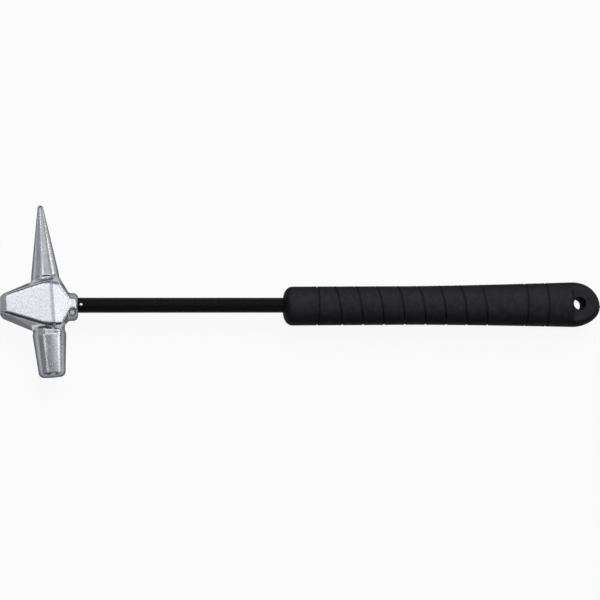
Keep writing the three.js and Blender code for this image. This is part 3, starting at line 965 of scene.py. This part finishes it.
# degrees from straight above toward the grip and toward the pick, width, height, radiance
mirrorBoxes = {
    "noseBox": (-10, 9, 1.6, 0.62, 1.22),
    "gripBox": (33, 9, 1.45, 0.62, 1.44),
    "backPanel": (2, 30, 2.2, 0.72, 0.40),
    "pickStripNear": (-21, 27, 0.13, 0.7, 3.0),
    "pickStripFar": (73, 53, 0.5, 0.5, 3.2),
    "pollStripNear": (-36, -9, 0.24, 0.5, 2.9),
    "pollStripFar": (66, -4, 0.5, 0.7, 2.4),
    "pollRootBox": (17, -52, 0.7, 1.3, 1.2),
    "pickRootBox": (9, 62, 0.5, 0.9, 1.5),
}
plainBoxes = {
    "key": (16, 42, 1.6, 1.4, 3.2),
    "fill": (-20, -10, 1.6, 1.4, 0.35),
}


def outward(along, across):
    away = Vector((tan(radians(along)), tan(radians(across)), 1)).normalized()
    side = (Vector((1, 0, 0)) - away * away.x).normalized()
    return away, Matrix((side, away.cross(side), away)).transposed().to_quaternion()


def makeFloor():
    bm = bmesh.new()
    bmesh.ops.create_grid(bm, x_segments=8, y_segments=8, size=stage["floorSize"] / 2)
    bmesh.ops.translate(bm, verts=bm.verts, vec=(0, 0, -stage["floorDrop"]))
    floorPiece = toObject(bm, "floor")
    material = bpy.data.materials.new("floorPaper")
    bench = emptyTree(material)
    # camera, mirror and glass rays see paper that is mostly lifted to white, and the rest of it
    # keeps a soft shadow
    rays = bench.node("ShaderNodeLightPath", output="Is Camera Ray")
    for kind in ("Is Glossy Ray", "Is Transmission Ray"):
        rays = rays + bench.node("ShaderNodeLightPath", output=kind)
    share = rays.maths("MINIMUM", rays, 1.0) * stage["floorLift"]
    paper = bench.node("ShaderNodeBsdfDiffuse", None, {"Color": stage["floorColour"]})
    white = bench.node("ShaderNodeEmission", None, {"Color": (1, 1, 1, 1), "Strength": 1.0})
    surface = bench.node("ShaderNodeMixShader", None, {0: share, 1: paper, 2: white})
    bench.node("ShaderNodeOutputMaterial", None, {"Surface": surface})
    floorPiece.data.materials.append(material)


def makeWorld():
    world = bpy.data.worlds.new("studio")
    bpy.context.scene.world = world
    bench = emptyTree(world)
    direction = bench.node("ShaderNodeTexCoord", output="Generated")
    along = bench.node("ShaderNodeSeparateXYZ", None, {"Vector": direction}, output="X")
    across = bench.node("ShaderNodeSeparateXYZ", None, {"Vector": direction}, output="Y")
    colour = mixColours(bench, across.between(*stage["shadeRange"]), stage["shade"], stage["dome"])
    for share in (along.between(*stage["pastGripRange"]), across.between(*stage["pastPickRange"])):
        colour = mixColours(bench, share, colour, stage["backShade"])
    light = bench.node("ShaderNodeBackground", None, {"Color": colour, "Strength": 1.0})
    bench.node("ShaderNodeOutputWorld", None, {"Surface": light})


def aim(item, target, direction, distance):
    # puts a lamp or camera that far from its target, in degrees along and across, facing it
    away, turn = outward(*direction)
    item.location = target + away * distance
    item.rotation_mode = "QUATERNION"
    item.rotation_quaternion = turn
    bpy.context.scene.collection.objects.link(item)


def addSoftbox(name, values, onlyInMirrors):
    along, across, width, height, radiance = values
    data = bpy.data.lights.new(name, "AREA")
    data.shape = "RECTANGLE"
    data.size = width
    data.size_y = height
    data.energy = radiance * pi * width * height
    lamp = bpy.data.objects.new(name, data)
    lamp.visible_glossy = onlyInMirrors
    lamp.visible_diffuse = not onlyInMirrors
    aim(lamp, crossing, (along, across), stage["boxDistance"])


def makeCamera():
    data = bpy.data.cameras.new("camera")
    data.sensor_width = stage["sensorWidth"]
    data.lens = stage["lensFocal"]
    data.clip_start = stage["clipStart"]
    data.clip_end = stage["clipEnd"]
    camera = bpy.data.objects.new("camera", data)
    direction = (stage["cameraAlong"], stage["cameraAcross"])
    aim(camera, crossing + Vector(stage["aimPlace"]), direction, stage["cameraDistance"])
    bpy.context.scene.camera = camera


makeFloor()
makeWorld()
# the bright metal shows the mirror boxes, and the plain ones light what is dull
for boxName, boxValues in mirrorBoxes.items():
    addSoftbox(boxName, boxValues, onlyInMirrors=True)
for boxName, boxValues in plainBoxes.items():
    addSoftbox(boxName, boxValues, onlyInMirrors=False)
makeCamera()
bpy.context.scene.view_settings.view_transform = "Standard"
print("stage ready")
